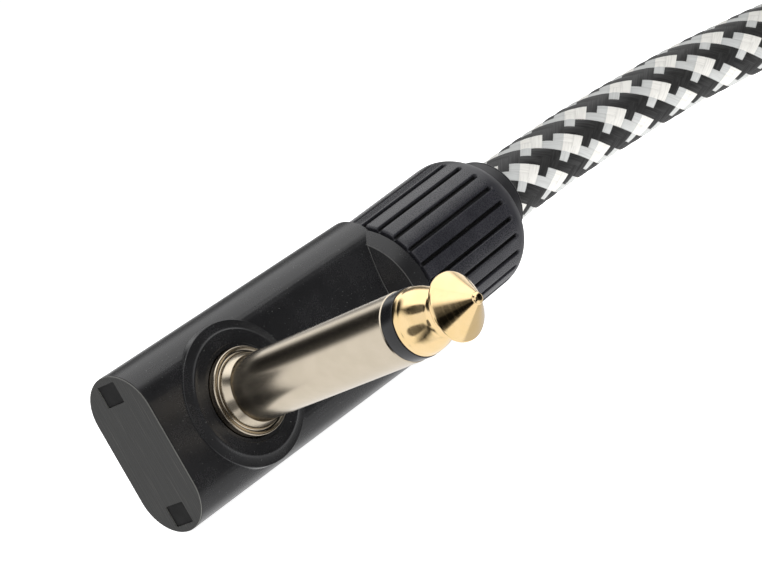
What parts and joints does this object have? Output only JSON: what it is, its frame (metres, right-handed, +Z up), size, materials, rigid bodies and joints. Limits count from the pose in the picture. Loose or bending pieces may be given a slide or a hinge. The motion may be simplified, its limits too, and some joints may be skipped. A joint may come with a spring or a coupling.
{
  "type": "instrument cable",
  "caption": "Braided instrument cable with a slim right-angle quarter-inch jack plug on one end and a straight plug on the other, wound into a tied hank.",
  "frame": {"origin": "on the supporting surface under the middle of the right-angle plug's box", "axes": "+Z up with the plug lying on its side, +X from the plug's closed end towards its cable, -Y along the jack shaft towards its tip"},
  "size_m": [0.2674, 0.0781, 0.0452],
  "materials": {
    "black_plastic": "smooth moulded black, semi-gloss",
    "grey_plastic": "satin dark grey moulding",
    "nickel": "bright nickel plate",
    "gold": "polished gold plate",
    "insulator": "satin black insulator",
    "rubber": "satin dark grey rubber",
    "brass": "plain brass",
    "braid": "black and white houndstooth textile braid",
    "copper": "bare copper wire",
    "core": "natural polyethylene core insulation",
    "strap": "black hook-and-loop strap"
  },
  "bodies": {
    "root": {"cable_chuck": "grey_plastic", "cable_end": "braid", "cable_hank": "braid", "cable_run": "braid", "cable_tail": "braid", "conductor": "copper", "core_insulation": "core", "end_cap": "grey_plastic", "far_cable_chuck": "grey_plastic", "far_cable_end": "braid", "far_conductor": "copper", "far_core_insulation": "core", "far_ferrule": "nickel", "far_ground_lug": "brass", "far_inner_jacket": "rubber", "far_insulating_tube": "insulator", "far_plug_sleeve": "nickel", "far_rear_washer": "insulator", "far_shell": "black_plastic", "far_sleeve_nut": "nickel", "far_tip_contact": "gold", "far_tip_insulator": "insulator", "far_tip_rivet": "nickel", "ferrule": "nickel", "ground_lug": "brass", "hank_tie": "strap", "housing": "black_plastic", "inner_jacket": "rubber", "insulating_tube": "insulator", "latch_frame": "grey_plastic", "plug_sleeve": "nickel", "rear_washer": "insulator", "shield_pigtail": "copper", "sleeve_nut": "nickel", "tip_contact": "gold", "tip_insulator": "insulator", "tip_lug": "brass", "tip_rivet": "nickel"},
    "gland_ring": {"thrust_ring": "brass"},
    "gland_nut_body": {"gland_nut": "black_plastic", "cable_collar": "rubber"},
    "far_gland_ring": {"far_thrust_ring": "brass"},
    "far_gland_nut_body": {"far_gland_nut": "black_plastic", "far_cable_collar": "rubber"}
  },
  "joints": [
    {"name": "gland_nut_travel", "type": "slide", "parent": "root", "child": "gland_ring", "axis": [0.9992, 0, 0.0401], "range_m": [0, 0.004]},
    {"name": "gland_nut_turn", "type": "hinge", "parent": "gland_ring", "child": "gland_nut_body", "pos_m": [0.0053, 0.01418, 0.0078], "axis": [0.9992, 0, 0.0401], "range_deg": [0, 1440]},
    {"name": "far_nut_travel", "type": "slide", "parent": "root", "child": "far_gland_ring", "axis": [1, 0, 0], "range_m": [0, 0.004]},
    {"name": "far_nut_turn", "type": "hinge", "parent": "far_gland_ring", "child": "far_gland_nut_body", "pos_m": [0.17339, -0.04897, 0.03781], "axis": [1, 0, 0], "range_deg": [0, 1440]}
  ],
  "couplings": [
    {"joint": "gland_nut_turn", "follows": "gland_nut_travel", "rad_per_m": 6283.2},
    {"joint": "far_nut_turn", "follows": "far_nut_travel", "rad_per_m": 6283.2}
  ]
}
